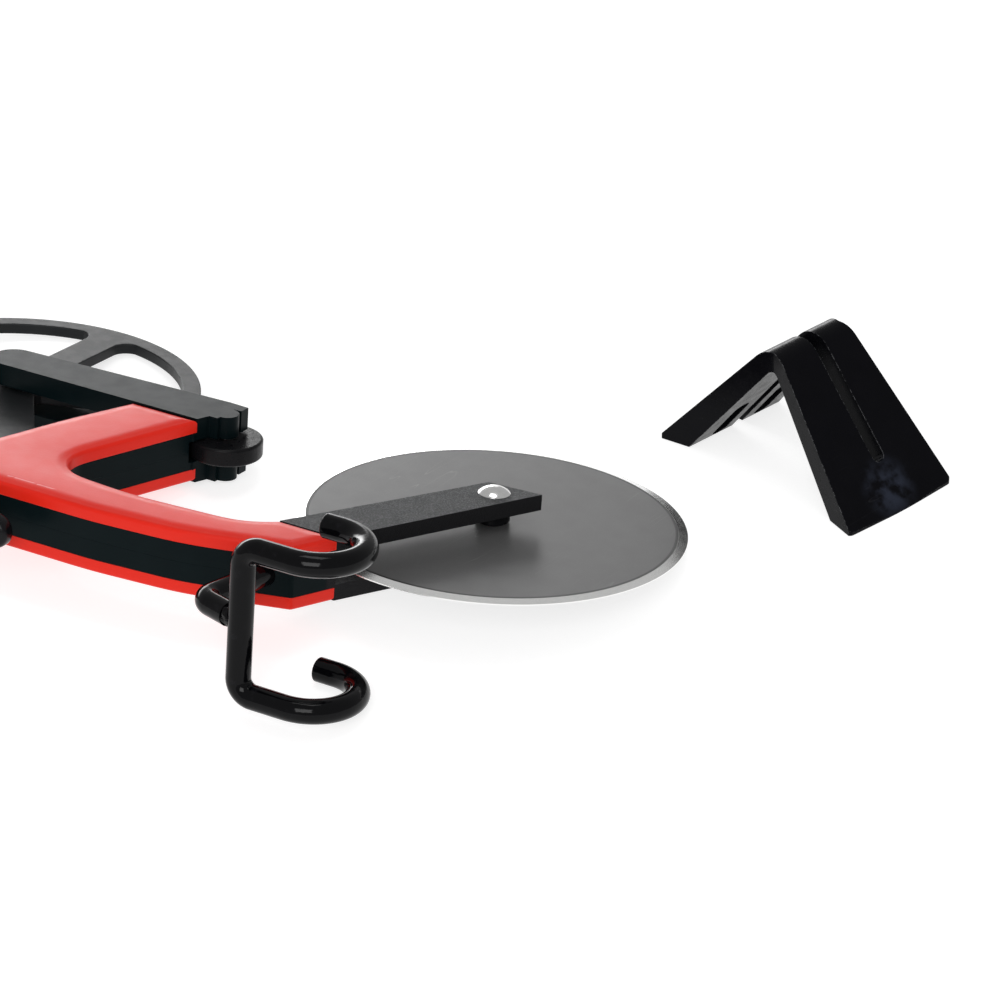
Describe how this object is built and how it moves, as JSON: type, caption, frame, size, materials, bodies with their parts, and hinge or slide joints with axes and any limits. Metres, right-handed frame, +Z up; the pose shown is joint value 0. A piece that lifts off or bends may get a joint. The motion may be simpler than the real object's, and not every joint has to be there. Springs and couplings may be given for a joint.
{
  "type": "bicycle-shaped pizza cutter",
  "caption": "Pizza cutter shaped like a racing bicycle, lying on its side: the front wheel is the cutting disc, the rear wheel is spoked, with a slotted inverted-V stand beside it.",
  "frame": {"origin": "middle of the footprint's bounding box, on the table", "axes": "+X from the rear wheel towards the front wheel, +Y from the saddle side towards the side the wheels roll on, +Z up off the table; the bicycle leans 10.2 degrees about X because it lies on its lower drop and the rim of its rear wheel"},
  "size_m": [0.2004, 0.1422, 0.0336],
  "materials": {
    "core": "satin, fine grained",
    "red": "satin gloss",
    "steel": "polished",
    "blade": "grey non-stick face, bright ground bevel",
    "black_plastic": "satin",
    "wheel": "satin",
    "black_metal": "gloss black",
    "saddle": "gloss",
    "stand": "satin gloss"
  },
  "bodies": {
    "frame": {"frame_half_left": "core", "frame_half_right": "core", "cover_left": "red", "cover_right": "red", "frame_screws": "steel", "front_spacer_left": "black_plastic", "front_spacer_right": "black_plastic", "front_rivet_post": "steel", "front_rivet_cap": "steel", "rear_axle_pin": "steel", "rear_washer_left": "black_plastic", "rear_washer_right": "black_plastic", "bracket_pin": "steel", "handlebar": "black_metal", "stem": "black_metal", "stem_weld": "black_metal", "saddle": "saddle", "seat_post": "black_metal"},
    "front_wheel": {"front_blade": "blade", "front_hub_bush": "black_plastic"},
    "rear_wheel": {"rear_wheel": "wheel"},
    "bracket": {"bracket_drum": "black_plastic"},
    "stand": {"stand": "stand"}
  },
  "joints": [
    {"name": "front_blade_spin", "type": "hinge", "parent": "frame", "child": "front_wheel", "pos_m": [0.03878, -0.00535, 0.00728], "axis": [0, 0.1764, 0.9843], "continuous": true},
    {"name": "rear_wheel_spin", "type": "hinge", "parent": "frame", "child": "rear_wheel", "pos_m": [-0.06522, -0.00535, 0.00728], "axis": [0, 0.1764, 0.9843], "continuous": true},
    {"name": "bracket_drum_spin", "type": "hinge", "parent": "frame", "child": "bracket", "pos_m": [-0.01852, -0.00426, 0.00708], "axis": [0, 0.1764, 0.9843], "continuous": true},
    {"name": "stand_lift", "type": "slide", "parent": "frame", "child": "stand", "axis": [0, 0, 1], "range_m": [0, 0.06]}
  ]
}
